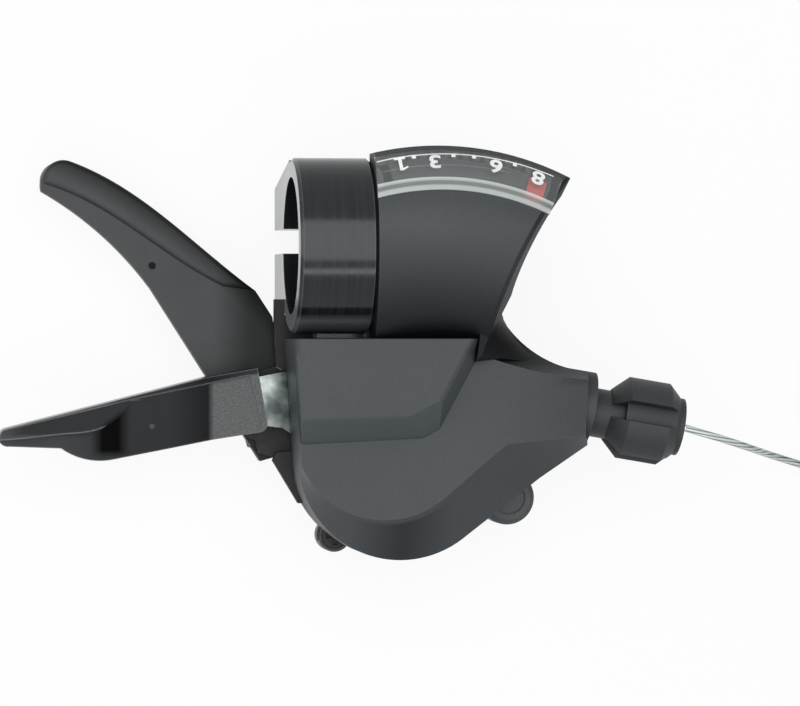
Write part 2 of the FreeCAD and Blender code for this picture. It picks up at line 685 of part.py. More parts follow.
def release_lever_grip():
    z0 = RELEASE_BOT - GRIP_BELOW
    z1 = RELEASE_TOP + GRIP_ABOVE
    wire = arc_wire((-51.6, -29.4), [
        [(-19.7, -21.3)],
        [(-11.2, -19.8)],
        [(-9.6, -28.6)],
        [(-10.0, -29.8), (-11.2, -30.3)],
        [(-18.4, -31.4)],
        [(-34.6, -34.6)],
        [(-38.8, -34.6), (-42.9, -32.8)],
        [(-51.2, -32.5)],
        [(-53.0, -31.1), (-51.6, -29.4)]], z0)
    grip = Part.Face(wire).extrude(V(0, 0, z1 - z0))
    face = plate([(-60, -31.6), (-32.0, -24.9), (-12.4, -20.9), (-10.4, -29.2), (-10.6, -40), (-60, -40)],
                 z1 - 0.7, z1 + 1)
    back = Part.BSplineCurve()
    back.interpolate([V(x, y, 0) for x, y in [(-60, -31.2), (-50, -31.2), (-42.5, -30.4), (-36.9, -29.6),
                                              (-33.6, -27.6), (-31.6, -25.0)]])
    rest = [(-31.6, -25.0), (-20, -25.0), (-20, -45), (-60, -45), (-60, -31.2)]
    sides = Part.makePolygon([V(x, y, 0) for x, y in rest])
    scoop = Part.Face(Part.Wire([back.toShape()] + sides.Edges)).extrude(V(0, 0, 20))
    floor = box((-40, 0), (-40, 40), (0, 20))
    floor.rotate(V(0, 0, 0), V(0, 1, 0), -SCOOP_FALL)
    floor.translate(V(-26.0, -30, z1 - 0.7))
    scoop.translate(V(0, 0, z1 - 6))
    return grip.cut(face).cut(scoop.common(floor)).cut(plate(release_outline(), RELEASE_BOT, RELEASE_TOP))


def main_lever_outline():
    return [(9.0, -28.4), (-7.6, -19.6), (-14.2, -21.8), (-10.2, -33.8), (7.0, -39.6)]


def rivet_places():
    return [V(-11.4, -23.6, 0), V(-10.4, -29.4, 0)]


def main_lever_plate():
    x, y = about_axle(*WIND_PIVOT)
    at = V(x, y, 0)
    arm = plate(main_lever_outline(), LEVER_BOT, LEVER_TOP)
    boss = cyl(PAWL_BOSS_D, LEVER_BOT, LEVER_TOP, at)
    bridge = plate([about_axle(5.5, WIND_PIVOT[1] - 40), about_axle(WIND_PIVOT[0], WIND_PIVOT[1] - 8),
                    about_axle(WIND_PIVOT[0], WIND_PIVOT[1] + 8), about_axle(5.5, WIND_PIVOT[1] + 40)],
                   LEVER_BOT, LEVER_TOP)
    shape = arm.fuse(cyl(14.0, LEVER_BOT, LEVER_TOP)).fuse(boss).fuse(bridge)
    shape = shape.cut(cyl(AXLE_D + 2 * RUN_FIT, -20, 20)).cut(cyl(PAWL_PIN_D, -20, 0, at))
    for place in rivet_places():
        shape = shape.cut(cyl(RIVET_D, -20, 0, place))
    return shape


def main_lever_arm():
    upper = [(-10.6, -7.2), (-20.7, 0.9), (-31.6, 9.2), (-40.9, 13.9)]
    lower = [(-45.7, 9.0), (-34.3, 0.5), (-27.8, -6.9)]
    crease = [(-16.0, -6.5), (-26.1, -0.4), (-34.3, 5.1), (-45.3, 10.2)]

    def curve(points, z):
        line = Part.BSplineCurve()
        line.interpolate([V(x, y, z) for x, y in points])
        return line.toShape()

    def line(a, b, z):
        return Part.LineSegment(V(a[0], a[1], z), V(b[0], b[1], z)).toShape()

    def tip(a, b, z):
        return Part.Arc(V(a[0], a[1], z), V(-44.9, 12.6, z), V(b[0], b[1], z)).toShape()

    z = LEVER_ARM_TOP - LEVER_WEB_T
    corner = (-9.8, -35.2)
    inner = [corner, (-6.9, -34.4), (-7.2, -19.9), (-7.2, -15.3), (-7.8, -11.5), upper[0]]
    edges = [curve(upper, z), tip(upper[-1], lower[0], z), curve(lower, z), line(lower[-1], corner, z)]
    edges += [line(a, b, z) for a, b in zip(inner, inner[1:])]
    web = Part.Face(Part.Wire(edges)).extrude(V(0, 0, LEVER_WEB_T))
    pad_edges = [curve(upper, PAD_BOT), tip(upper[-1], crease[-1], PAD_BOT),
                 curve(crease[::-1], PAD_BOT), line(crease[0], upper[0], PAD_BOT)]
    pad_top = LEVER_ARM_TOP + PAD_RISE
    pad = Part.Face(Part.Wire(pad_edges)).extrude(V(0, 0, pad_top - PAD_BOT))
    pad = pad.makeFillet(PAD_SOFT, [e for e in pad.Edges if e.BoundBox.ZMin > pad_top - 0.01])
    root = plate([(-8.6, -19.6), (-14.6, -21.2), (-11.4, -33.0), (-9.0, -33.0)], LEVER_BOT - 6, LEVER_BOT)
    arm = web.fuse(pad).fuse(root)
    for place in rivet_places():
        arm = arm.cut(cyl(RIVET_D, LEVER_BOT - 4, 0, place))
    return arm


def lever_rivet(place):
    head = cyl(RIVET_HEAD_D, LEVER_TOP, LEVER_TOP + RIVET_HEAD_T, place)
    return head.fuse(cyl(RIVET_D, LEVER_BOT - 4, LEVER_TOP, place))


# Barrel adjuster

def nose_collar():
    return tube(COLLAR_D, BOLT_D + 2 * RUN_FIT, -COLLAR_L, 0)


def adjuster_bolt():
    return tube(BOLT_D, CABLE_D + 2 * WIRE_AIR, -COLLAR_L + 0.5, NOSE_FLANGE + NECK_L + 3)


def adjuster_knob():
    w0 = NOSE_FLANGE + PLATE_GAP
    w1 = w0 + NECK_L
    w2 = w1 + KNOB_L
    r = KNOB_D / 2
    profile = [V(0, 0, w1), V(r - KNOB_BACK[1], 0, w1), V(r, 0, w1 + KNOB_BACK[0]),
               V(r, 0, w2 - KNOB_FRONT[0]), V(r - KNOB_FRONT[1], 0, w2), V(0, 0, w2), V(0, 0, w1)]
    knob = Part.Face(Part.makePolygon(profile)).revolve(V(0, 0, 0), UP, 360)
    middle = V(0, 0, 0)
    for k in range(KNOB_LOBES):
        a = KNOB_TURN + 360.0 / KNOB_LOBES * k
        half = KNOB_FLUTE / 2
        knob = knob.cut(sector(KNOB_FLUTE_R, r + 2, a - half, a + half, w1 - 1, w2 + 1, middle))
        knob = knob.cut(sector(NECK_D / 2, r + 2, a - half, a + half, w1 - 1, w1 + KNOB_POCKET, middle))
    knob = knob.fuse(Part.makeCylinder(NECK_D / 2, NECK_L + 1, V(0, 0, w0)))
    knob = knob.fuse(Part.makeCylinder(KNOB_END_D / 2, KNOB_END_L + 1, V(0, 0, w2 - 1)))
    knob = knob.cut(Part.makeCylinder(BOLT_D / 2, NECK_L + 3 - PLATE_GAP, V(0, 0, w0)))
    knob = knob.cut(Part.makeCylinder(CABLE_D / 2 + WIRE_AIR, 60, V(0, 0, 0)))
    return on_cable_line(knob)


# Gear cable

def cable_exit():
    return NOSE + CABLE_DIR * (NOSE_FLANGE + PLATE_GAP + NECK_L + KNOB_L + KNOB_END_L + 1.0)


def inner_cable():
    length = (cable_exit() - CABLE_FOOT).Length
    return Part.makeCylinder(CABLE_D / 2, length, CABLE_FOOT, CABLE_DIR)


def cable_run():
    """The wire past the adjuster: straight runs joined by arcs as large as the runs allow."""
    points = [cable_exit()] + [V(*p) for p in CABLE_ROUTE]
    edges = []
    here = points[0]
    for before, corner, after in zip(points, points[1:], points[2:]):
        back = (before - corner).normalize()
        ahead = (after - corner).normalize()
        reach = 0.45 * min((before - corner).Length, (after - corner).Length)
        half_turn = (math.pi - back.getAngle(ahead)) / 2
        radius = reach / math.tan(half_turn)
        inward = (back + ahead).normalize()
        middle = corner + inward * (radius / math.cos(half_turn) - radius)
        start = corner + back * reach
        end = corner + ahead * reach
        edges.append(Part.LineSegment(here, start).toShape())
        edges.append(Part.Arc(start, middle, end).toShape())
        here = end
    edges.append(Part.LineSegment(here, points[-1]).toShape())
    path = Part.Wire(edges)
    first = (points[1] - points[0]).normalize()
    section = Part.Wire(Part.makeCircle(CABLE_D / 2, points[0], first))
    return path.makePipeShell([section], True, False)


def coil_sizes():
    half = (COIL_ROWS + 1) * CABLE_D / 2
    z0 = PAD_BOT + TIE_T
    return COIL_MEAN_D / 2 - half, COIL_MEAN_D / 2 + half, z0, z0 + COIL_ROWS * CABLE_D


def coil_at():
    """Centre of the coil, which the last run of the wire touches from outside."""
    end = V(*CABLE_ROUTE[-1])
    last = end - V(*CABLE_ROUTE[-2])
    across = V(-last.y, last.x, 0).normalize()
    return end + across * (coil_sizes()[1] + CABLE_D / 2 + SEAT)


def cable_coil():
    r0, r1, z0, z1 = coil_sizes()
    ring = cyl(2 * r1, z0, z1, coil_at()).cut(cyl(2 * r0, z0 - 1, z1 + 1, coil_at()))
    return ring.makeFillet(CABLE_D / 2, ring.Edges)


def cable_tie():
    r0, r1, z0, z1 = coil_sizes()
    at = coil_at()
    band = sector(r0 - TIE_T, r1 + TIE_T, 90, 90 + TIE_TURN, z0 - TIE_T, z1 + TIE_T, at)
    return band.cut(cable_coil())


def cable_end_cap():
    r0, r1, z0, z1 = coil_sizes()
    at = coil_at()
    start = V(at.x - END_CAP_L / 2, at.y - COIL_MEAN_D / 2, z1 + END_CAP_D / 2)
    return Part.makeCylinder(END_CAP_D / 2, END_CAP_L, start, V(1, 0, 0))


def hatch_cap():
    at = hatch_at()
    cap = cyl(HATCH_D, BASE_BOT, BASE_BOT + HATCH_T, at)
    cap = cap.makeChamfer(0.5, [e for e in cap.Edges if e.BoundBox.ZMin > BASE_BOT + HATCH_T - 0.01])
    cap = cap.cut(cyl(HATCH_D - 2.6, BASE_BOT + HATCH_T - 0.5, BASE_BOT + HATCH_T + 1, at))
    stem = cyl(HATCH_STEM_D, BASE_BOT - 4, BASE_BOT, at)
    return cap.fuse(stem)


PARTS = {
    "upper_cover": upper_cover(),
    "lower_casing": lower_casing(),
    "base_plate": base_plate(),
    "clamp_band": clamp_band(),
    "clamp_bolt": clamp_bolt(),
    "clamp_nut": clamp_nut(),
    "clamp_foot_screw": pan_screw(FOOT_SCREW_D, 7.0, 1.8, BASE_BOT, BASE_T + FOOT_T - 1, foot_screw_at()),
    "main_axle": main_axle(),
    "axle_clip": axle_clip(),
    "cable_drum": cable_drum(),
    "cable_head": cable_head(),
    "ratchet_wheel": ratchet_wheel(),
    "drum_spring": coil_spring(12.4, 0.8, 2, DRUM_TOP - 1.9),
    "lever_spring": coil_spring(12.0, 0.5, 1.5, FLOOR_TOP + 0.05),
    "hold_pawl_pin": pawl_pin(HOLD_PIVOT, BASE_BOT),
    "hold_pawl": pawl(HOLD_PIVOT, HOLD_AT),
    "wind_pawl_pin": pawl_pin(WIND_PIVOT, LEVER_BOT),
    "wind_pawl": pawl(WIND_PIVOT, notch_at(WIND_NOTCH)),
    "release_lever_plate": release_lever_plate(),
    "release_lever_grip": release_lever_grip(),
    "main_lever_plate": main_lever_plate(),
    "main_lever_arm": main_lever_arm(),
    "indicator_window": window_form(),
    "gear_pointer": pointer_layer(0),
    "nose_collar": nose_collar(),
    "adjuster_bolt": adjuster_bolt(),
    "adjuster_knob": adjuster_knob(),
    "inner_cable": inner_cable(),
    "cable_run": cable_run(),
    "cable_coil": cable_coil(),
    "cable_tie": cable_tie(),
    "cable_end_cap": cable_end_cap(),
    "hatch_cap": hatch_cap(),
    "base_screw": pan_screw(BASE_SHANK_D, BASE_SCREW_D, 1.2, BASE_BOT, 4.0, base_screw_at(), False),
}
for number, place in enumerate(rivet_places(), 1):
    PARTS[f"lever_rivet_{number}"] = lever_rivet(place)
for number, (x, y) in enumerate(SCREWS, 1):
    PARTS[f"cover_screw_{number}"] = pan_screw(SCREW_D, SCREW_HEAD_D, SCREW_HEAD_T, FLOOR_TOP + 0.4,
                                               BASE_TOP + 6.5 - FLOOR_TOP, V(x, y, 0))

os.makedirs("parts", exist_ok=True)
for name, shape in PARTS.items():
    shape.exportStep(f"parts/{name}.step")
    print(name, len(shape.Solids), shape.isValid(), round(shape.Volume, 1))
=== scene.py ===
import json
import math

import bpy
from mathutils import Matrix, Vector

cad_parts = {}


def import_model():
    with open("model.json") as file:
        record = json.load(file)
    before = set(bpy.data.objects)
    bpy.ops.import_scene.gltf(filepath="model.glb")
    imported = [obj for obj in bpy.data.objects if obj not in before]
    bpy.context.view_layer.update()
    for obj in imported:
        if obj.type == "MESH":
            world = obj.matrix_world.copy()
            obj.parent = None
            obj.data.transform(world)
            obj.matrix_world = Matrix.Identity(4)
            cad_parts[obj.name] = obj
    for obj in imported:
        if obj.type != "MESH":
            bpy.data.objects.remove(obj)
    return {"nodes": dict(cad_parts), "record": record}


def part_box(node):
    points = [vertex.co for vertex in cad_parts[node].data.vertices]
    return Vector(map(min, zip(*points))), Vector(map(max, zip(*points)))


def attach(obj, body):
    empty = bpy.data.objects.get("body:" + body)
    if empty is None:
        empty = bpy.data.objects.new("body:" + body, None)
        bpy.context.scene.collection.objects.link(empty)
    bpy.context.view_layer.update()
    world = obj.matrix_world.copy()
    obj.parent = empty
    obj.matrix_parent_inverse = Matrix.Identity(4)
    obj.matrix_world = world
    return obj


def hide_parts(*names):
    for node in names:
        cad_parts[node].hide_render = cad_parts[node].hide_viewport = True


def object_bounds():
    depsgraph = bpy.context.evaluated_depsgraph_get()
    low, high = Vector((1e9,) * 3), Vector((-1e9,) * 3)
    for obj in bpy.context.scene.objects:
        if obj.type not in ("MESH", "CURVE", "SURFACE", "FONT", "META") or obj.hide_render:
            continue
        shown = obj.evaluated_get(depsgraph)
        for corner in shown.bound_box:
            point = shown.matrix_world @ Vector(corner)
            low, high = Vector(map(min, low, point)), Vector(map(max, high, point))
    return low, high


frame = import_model()
CAD_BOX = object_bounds()
NODES = frame["nodes"]

# Sizes and places below are in millimetres and angles in degrees
MM = 0.001

# Camera: close to straight above the pod, turned a little towards the clamp's open end and the rider
VIEW_CENTRE = (11.55, -17.33, 0.0)
VIEW_TILT = 7.9
VIEW_LEAN = 0.5
VIEW_DISTANCE = 720.0
PIXELS_PER_MM = 6.17
IMAGE_WIDTH = 800
SENSOR = 36.0

# Lamps: place, target, size and power
LAMPS = {
    "key": ((-120, 100, 690), (-120, 100, 0), (800, 690), 5.0),
    "strip": ((-120, -470, 690), (-120, -470, 0), (800, 120), 1.4),
    "side": ((-620, 60, 160), (0, -5, 0), (300, 260), 0.6),
}

# Stage: the sky's level as light, and the floor with its grey and its share of white in the view
SKY_LEVEL = 0.25
FLOOR_SIZE = 6000.0
FLOOR_DROP = 0.2
FLOOR_GREY = 0.82
FLOOR_WHITE = 0.9

# Soft edges of the CAD nodes, and how far in the edges are worn by handling and given a painted highlight
EDGE_WIDTH = 0.3
EDGE_ANGLE = 38.0
WORN_HIGHLIGHT_WIDTH = 0.35

# Ranges over which a mask fades, by how far a face looks along an axis, or how sharp or open it is
RIGHT_FACE = (0.35, 0.7)
LEVEL_FACE = (0.96, 0.99)
SLOPED_FACE = (0.8, 0.95)
FRONT_FACE = (-0.45, -0.25)
BAND_END_FACE = (-0.95, -0.85)
FROSTED_FACE = (0.875, 0.885)
SHARP_EDGE = (0.90, 0.995)
OPEN_CORNER = (0.35, 0.95)

# Moulded resin and metal: shares of their colour where they are mottled, on edges that are worn
# and given a painted highlight, in corners given a painted shade, and in painted light
BLACK = (0.0, 0.0, 0.0)
RESIN_MOTTLE = (0.84, 1.18)
RESIN_WORN_HIGHLIGHT = 2.2
RESIN_CORNER_SHADE = 0.3
RESIN_LIT = 1.45
SHADED_GLOSS = 0.05
METAL_MOTTLE = (0.85, 1.1)

# Dial: its centre and the window's edges as in the CAD, by radius and height, and the gears' angles
DIAL = (16.7, -31.1)
WINDOW_OUT = (46.4, 9.1)
WINDOW_IN = (39.8, 13.1)
WINDOW_BEVEL = 2.2
GEAR_ANGLES = [98.3, 95.4, 91.2, 87.3, 83.1, 78.4, 74.6, 69.3]

# Window: clear tint, and the frost on its bevel by place across it and brightness
WINDOW_TINT = (0.86, 0.9, 0.9)
BEVEL_BANDS = [(0.05, 0.35), (0.1, 0.95), (0.38, 0.85), (0.5, 0.34), (0.72, 0.38), (0.8, 0.8),
               (0.95, 1.0)]

# Dial print: angle and radius of the scale line's ends, then bands by their distance from that line
LINE_LEFT = (103.0, 45.53)
LINE_RIGHT = (66.4, 46.05)
LINE_BAND = (-0.08, 0.08)
TICK_BAND = (-0.5, -0.08)
TICK_HALF = 0.42
HAIRLINE_BAND = (-1.84, -1.74)
HAIRLINE_SPAN = (75.0, 102.4)
NUMBERED_GEARS = (1, 3, 6, 8)
DIGIT_IN = 1.1
DIGIT_HEIGHT = 2.4
DIGIT_FONT = 1.4 * DIGIT_HEIGHT
DIGIT_BOLD = 0.1
DIGIT_WIDE = 1.3
PRINT_LIFT = 0.03

# Hood and pod: the hood's right edge as in the CAD, places given a painted shade, and the step given
# painted light
HOOD_RIGHT = 63.0
HOOD_TILT = 20.0
HOOD_RIM_Z = WINDOW_OUT[1] - 0.7
HOOD_FLANK = 0.7
HOOD_FLANK_SOFT = 0.1
HOOD_FLANK_Y = (-13.0, -11.0)
FLANK_SHADE = 0.35
HOOD_SHADE = 0.2
HOOD_SHADE_Y = (-15.0, 3.0)
SHOULDER_SHADE_Y = (-23.0, -18.0)
POD_BACK_Y = (-15.05, -15.0)
PLATEAU_END_X = (22.4, 23.0)
FLAT_Z = 6.4
FLAT_TOP_Z = (FLAT_Z + 0.3, FLAT_Z + 0.6)
STEP_Z = (FLAT_Z - 0.1, FLAT_Z + 0.5)
STEP_Y = (-18.0, -17.0)
POD_DARK = 0.5
POD_DARK_X = 11.5
POD_DARK_REACH = (0.5, 8.5)
POD_DARK_Z = (FLAT_Z - 0.8, FLAT_Z - 0.4)

# Clamp band: brush lines, greys, a low side paler as a painted reflection, an end face light grey as a
# painted reflection, and edges worn and given a painted highlight
BRUSH_SCALE = (3000, 40, 40)
BAND_DARK = (0.006, 0.008, 0.010)
BAND_LIGHT = (0.013, 0.016, 0.019)
BAND_PALE = (0.085, 0.095, 0.100)
BAND_LOW_Y = (-12.2, -11.0)
BAND_END = (0.16, 0.175, 0.185)
BAND_WORN_HIGHLIGHT = (0.16, 0.17, 0.18)

# Thumb lever: the pin mark, the circle of the pad's upper edge, and the places given a painted shade
LEVER_MARK = (-27.6, -3.1)
LEVER_MARK_R = (0.525, 0.7)
LEVER_MARK_SHADE = 0.1
LEVER_EDGE = (-89.1, -86.4)
LEVER_EDGE_R = (107.9, 111.0)
LEVER_EDGE_SHADE = 0.3
LEVER_ROOT_X = (-17.5, -11.5)
LEVER_ROOT_SHADE = 0.45

# Finger lever's steel root, darker towards the pod with a painted shade and reflection of the dark pod
ROOT_X = (-10.8, -5.2)
ROOT_PALE = (0.24, 0.27, 0.25)
ROOT_SHADED = (0.04, 0.047, 0.05)

# Finger grip: colours, rough field, painted sheen on lip and tip, painted shade in the hollow, and
# edges left with neither wear nor painted highlight
GRIP_BLACK = (0.004, 0.005, 0.006)
GRIP_PALE = (0.009, 0.010, 0.012)
GRIP_SHEEN = (0.085, 0.091, 0.097)
GRIP_WORN_HIGHLIGHT = (0.22, 0.23, 0.24)
GRIP_WEAR_HIGHLIGHT = (0.9, 0.5)
FIELD_DARK = (0.075, 0.079, 0.08)
FIELD_PALE = (0.145, 0.15, 0.152)
GRIP_FIELD_X = (-19.2, -18.2)
GRIP_ROOT_X = (-19.7, -18.7)
GRIP_ROOT_SOFT = 6.0
GRIP_ROOT_SHADE = 0.5
GRIP_RIM = ((-0.204, 1, 0), -18.4, 0.15)
GRIP_TIP_X = (-52.0, -36.0)
GRIP_END_X = (-53.0, -49.0)
GRIP_LIP_Y = (-30.9, -30.3)
GRIP_HOLLOW_X = (-36.3, -33.7)
GRIP_HOLLOW_SOFT = 2.0
GRIP_HOLLOW_Y = (-34.3, -33.1)
GRIP_HOLLOW_SHADE = 0.12
GRIP_BACK = ((-0.735, 1, 0), -2.5, 0.7)
GRIP_NO_WEAR_HIGHLIGHT_X = (-35.6, -25.4)
GRIP_NO_WEAR_HIGHLIGHT_SOFT = 0.8
GRIP_NO_WEAR_HIGHLIGHT_Y = (-31.5, -31.0)
GRIP_RIDGE = ((-0.204, 1, 0), -18.75, 0.05)
GRIP_MARK = (-28.3, -29.2)
GRIP_MARK_R = (0.35, 0.5)
GRIP_MARK_GREY = (0.05, 0.051, 0.053)

# Gear cable past the adjuster, with its route as in the CAD
CABLE_D = 1.2
CABLE_LENGTH = 2002.0
CABLE_EXIT = (59.15, -29.73, -2.5)
CABLE_ROUTE = [(64.7, -31.3, -2.9), (69.7, -32.8, -5.9), (73.0, -33.7, -10.8), (75.7, -34.4, -16.1),
               (80.0, -35.6, -20.1), (86.6, -37.6, -22.3), (93.0, -39.6, -22.9)]
STRAND_PITCH = 2.4
STRANDS = 6
WIRE_GROOVE_SHADE = (0.2, 0.23, 0.23)
WIRE_PALE = (0.6, 0.64, 0.64)
COIL_R = 13.8
COIL_LEVELS = 5
COIL_TURNS = 5.2
COIL_STEPS = 16
COIL_GAP = 0.65
LEVEL_CLIMB = 0.5
LAST_CLIMB = 0.45
END_IN_CAP = 3.0


# Node helpers

def new_material(name):
    material = bpy.data.materials.new(name)
    material.use_nodes = True
    tree = material.node_tree
    return material, tree, tree.nodes["Principled BSDF"]


def connect(tree, value, socket):
    """Links another socket's value, or sets a plain one."""
    if isinstance(value, bpy.types.NodeSocket):
        tree.links.new(value, socket)
    else:
        socket.default_value = value


def coordinate(tree, kind="Object"):
    return tree.nodes.new("ShaderNodeTexCoord").outputs[kind]


def place(tree, axis, kind="Object"):
    parts = tree.nodes.new("ShaderNodeSeparateXYZ")
    tree.links.new(coordinate(tree, kind), parts.inputs[0])
    return parts.outputs[axis]


def noise(tree, scale, detail=3.0, roughness=0.55):
    node = tree.nodes.new("ShaderNodeTexNoise")
    node.inputs["Scale"].default_value = scale
    node.inputs["Detail"].default_value = detail
    node.inputs["Roughness"].default_value = roughness
    tree.links.new(coordinate(tree), node.inputs["Vector"])
    return node.outputs["Fac"]


def ramp(tree, value, low, high, start=0.3, end=0.7):
    """Goes from one colour to another as a value goes from start to end."""
    node = tree.nodes.new("ShaderNodeValToRGB")
    node.color_ramp.elements[0].position = start
    node.color_ramp.elements[1].position = end
    node.color_ramp.elements[0].color = (*low, 1)
    node.color_ramp.elements[1].color = (*high, 1)
    tree.links.new(value, node.inputs["Fac"])
    return node.outputs["Color"]


def span(tree, value, low, high, start=0.3, end=0.7):
    """Maps a value from start..end to low..high, held at both ends."""
    node = tree.nodes.new("ShaderNodeMapRange")
    node.inputs["From Min"].default_value = start
    node.inputs["From Max"].default_value = end
    node.inputs["To Min"].default_value = low
    node.inputs["To Max"].default_value = high
    tree.links.new(value, node.inputs["Value"])
    return node.outputs["Result"]


def between(tree, factor, low, high):
    """Goes from low to high as a factor goes from 0 to 1."""
    return span(tree, factor, low, high, 0.0, 1.0)


def math_node(tree, operation, first, second=None):
    node = tree.nodes.new("ShaderNodeMath")
    node.operation = operation
    connect(tree, first, node.inputs[0])
    if second is not None:
        connect(tree, second, node.inputs[1])
    return node.outputs[0]


def times(tree, first, *others):
    for other in others:
        first = math_node(tree, "MULTIPLY", first, other)
    return first


def inverse(tree, value):
    return math_node(tree, "SUBTRACT", 1.0, value)


def vector_node(tree, operation, first, second=None, output="Vector"):
    node = tree.nodes.new("ShaderNodeVectorMath")
    node.operation = operation
    connect(tree, first, node.inputs[0])
    if second is not None:
        connect(tree, second, node.inputs[1])
    return node.outputs[output]


def blend_colour(tree, factor, first, second):
    node = tree.nodes.new("ShaderNodeMix")
    node.data_type = "RGBA"
    tree.links.new(factor, node.inputs["Factor"])
    for socket, colour in ((node.inputs["A"], first), (node.inputs["B"], second)):
        connect(tree, (*colour, 1) if isinstance(colour, tuple) else colour, socket)
    return node.outputs["Result"]


def bump(tree, shader, height, strength, distance_mm):
    node = tree.nodes.new("ShaderNodeBump")
    node.inputs["Strength"].default_value = strength
    node.inputs["Distance"].default_value = distance_mm * MM
    tree.links.new(height, node.inputs["Height"])
    tree.links.new(node.outputs["Normal"], shader.inputs["Normal"])


# Masks over the surface

def along(tree, axis, low_mm, high_mm):
    """0 below one place along an axis, 1 above the other."""
    return span(tree, place(tree, axis), 0.0, 1.0, low_mm * MM, high_mm * MM)


def within(tree, axis, low_mm, high_mm, soft_mm):
    """1 between two places along an axis, falling to 0 over a soft width past each."""
    rise = along(tree, axis, low_mm - soft_mm, low_mm)
    fall = along(tree, axis, high_mm, high_mm + soft_mm)
    return times(tree, rise, inverse(tree, fall))


def past_plane(tree, normal, offset_mm, soft_mm):
    """0 behind a plane, given by its normal and offset, and 1 beyond it, with a soft width between."""
    height = vector_node(tree, "DOT_PRODUCT", coordinate(tree), normal, "Value")
    return span(tree, height, 0.0, 1.0, (offset_mm - soft_mm) * MM, (offset_mm + soft_mm) * MM)


def from_axis(tree, centre_mm, radii_mm, low, high):
    """Goes from low to high between two distances from an upright axis."""
    shift = vector_node(tree, "SUBTRACT", coordinate(tree), (centre_mm[0] * MM, centre_mm[1] * MM, 0))
    flat = vector_node(tree, "MULTIPLY", shift, (1, 1, 0))
    away = vector_node(tree, "LENGTH", flat, output="Value")
    return span(tree, away, low, high, radii_mm[0] * MM, radii_mm[1] * MM)


def facing(tree, axis):
    """How far a face looks along an axis, from -1 to 1."""
    parts = tree.nodes.new("ShaderNodeSeparateXYZ")
    tree.links.new(tree.nodes.new("ShaderNodeNewGeometry").outputs["True Normal"], parts.inputs[0])
    return parts.outputs[axis]


def in_corners(tree, reach_mm):
    """1 on open faces, falling to 0 deep in corners, where it sets a painted shade."""
    node = tree.nodes.new("ShaderNodeAmbientOcclusion")
    node.samples = 6
    node.inputs["Distance"].default_value = reach_mm * MM
    return node.outputs["AO"]


def worn_edge(tree):
    """1 along sharp edges, partly worn by handling and partly given a painted highlight, and 0 on open
    faces.
    """
    rounded = tree.nodes.new("ShaderNodeBevel")
    rounded.samples = 4
    rounded.inputs["Radius"].default_value = WORN_HIGHLIGHT_WIDTH * MM
    face = tree.nodes.new("ShaderNodeNewGeometry")
    likeness = vector_node(tree, "DOT_PRODUCT", rounded.outputs[0], face.outputs["Normal"], "Value")
    return span(tree, likeness, 1.0, 0.0, *SHARP_EDGE)


# Darker and paler places

def hood_shade(tree):
    """Painted shade: 1 on the pod, falling on the hood and its shoulder towards the foot they share,
    and on faces of the hood turned to the right.
    """
    fall = between(tree, along(tree, "Y", *HOOD_SHADE_Y), HOOD_SHADE, 1.0)
    side = span(tree, facing(tree, "X"), 1.0, HOOD_SHADE, *RIGHT_FACE)
    pod = inverse(tree, along(tree, "Y", *POD_BACK_Y))
    left = inverse(tree, along(tree, "X", *PLATEAU_END_X))
    low = inverse(tree, along(tree, "Z", *FLAT_TOP_Z))
    level = times(tree, span(tree, facing(tree, "Z"), 0.0, 1.0, *LEVEL_FACE), low)
    beyond = inverse(tree, along(tree, "Y", *SHOULDER_SHADE_Y))
    plain = times(tree, pod, math_node(tree, "MAXIMUM", left, level))
    plain = math_node(tree, "MAXIMUM", plain, beyond)
    return math_node(tree, "MAXIMUM", times(tree, fall, side), plain)


def hood_flank(tree):
    """1 on a strip along the hood's right edge, where its top turns down to the side: a painted shade."""
    a = math.radians(HOOD_RIGHT)
    normal = Vector((math.sin(a), -math.cos(a), math.tan(math.radians(HOOD_TILT))))
    edge = normal.dot(Vector((*DIAL, HOOD_RIM_Z)))
    strip = past_plane(tree, normal, edge - HOOD_FLANK, HOOD_FLANK_SOFT)
    return times(tree, strip, along(tree, "Y", *HOOD_FLANK_Y))


def cover_shade(tree):
    """Painted shade: the hood's shade, its darker flank, and a darker place on the front of the pod."""
    aside = math_node(tree, "ABSOLUTE", math_node(tree, "SUBTRACT", place(tree, "X"), POD_DARK_X * MM))
    near = span(tree, aside, POD_DARK, 0.0, POD_DARK_REACH[0] * MM, POD_DARK_REACH[1] * MM)
    front = span(tree, facing(tree, "Y"), 1.0, 0.0, *FRONT_FACE)
    below = inverse(tree, along(tree, "Z", *POD_DARK_Z))
    dark = inverse(tree, times(tree, near, front, below))
    flank = hood_flank(tree)
    top = times(tree, hood_shade(tree), dark, inverse(tree, flank))
    return math_node(tree, "ADD", top, times(tree, flank, FLANK_SHADE))


def cover_light(tree):
    """Painted light: 1 on the step from the plateau down to the flat top, which lies open to the light."""
    above = along(tree, "Z", *STEP_Z)
    pod = inverse(tree, along(tree, "Y", *STEP_Y))
    slope = span(tree, facing(tree, "Z"), 1.0, 0.0, *SLOPED_FACE)
    return times(tree, above, pod, slope)


def lever_shade(tree):
    """Painted shade falling towards the pad's upper edge and the root, and the darker round mark of an
    ejector pin.
    """
    pad = from_axis(tree, LEVER_EDGE, LEVER_EDGE_R, 1.0, LEVER_EDGE_SHADE)
    root = between(tree, along(tree, "X", *LEVER_ROOT_X), 1.0, LEVER_ROOT_SHADE)
    mark = from_axis(tree, LEVER_MARK, LEVER_MARK_R, LEVER_MARK_SHADE, 1.0)
    return times(tree, pad, root, mark)


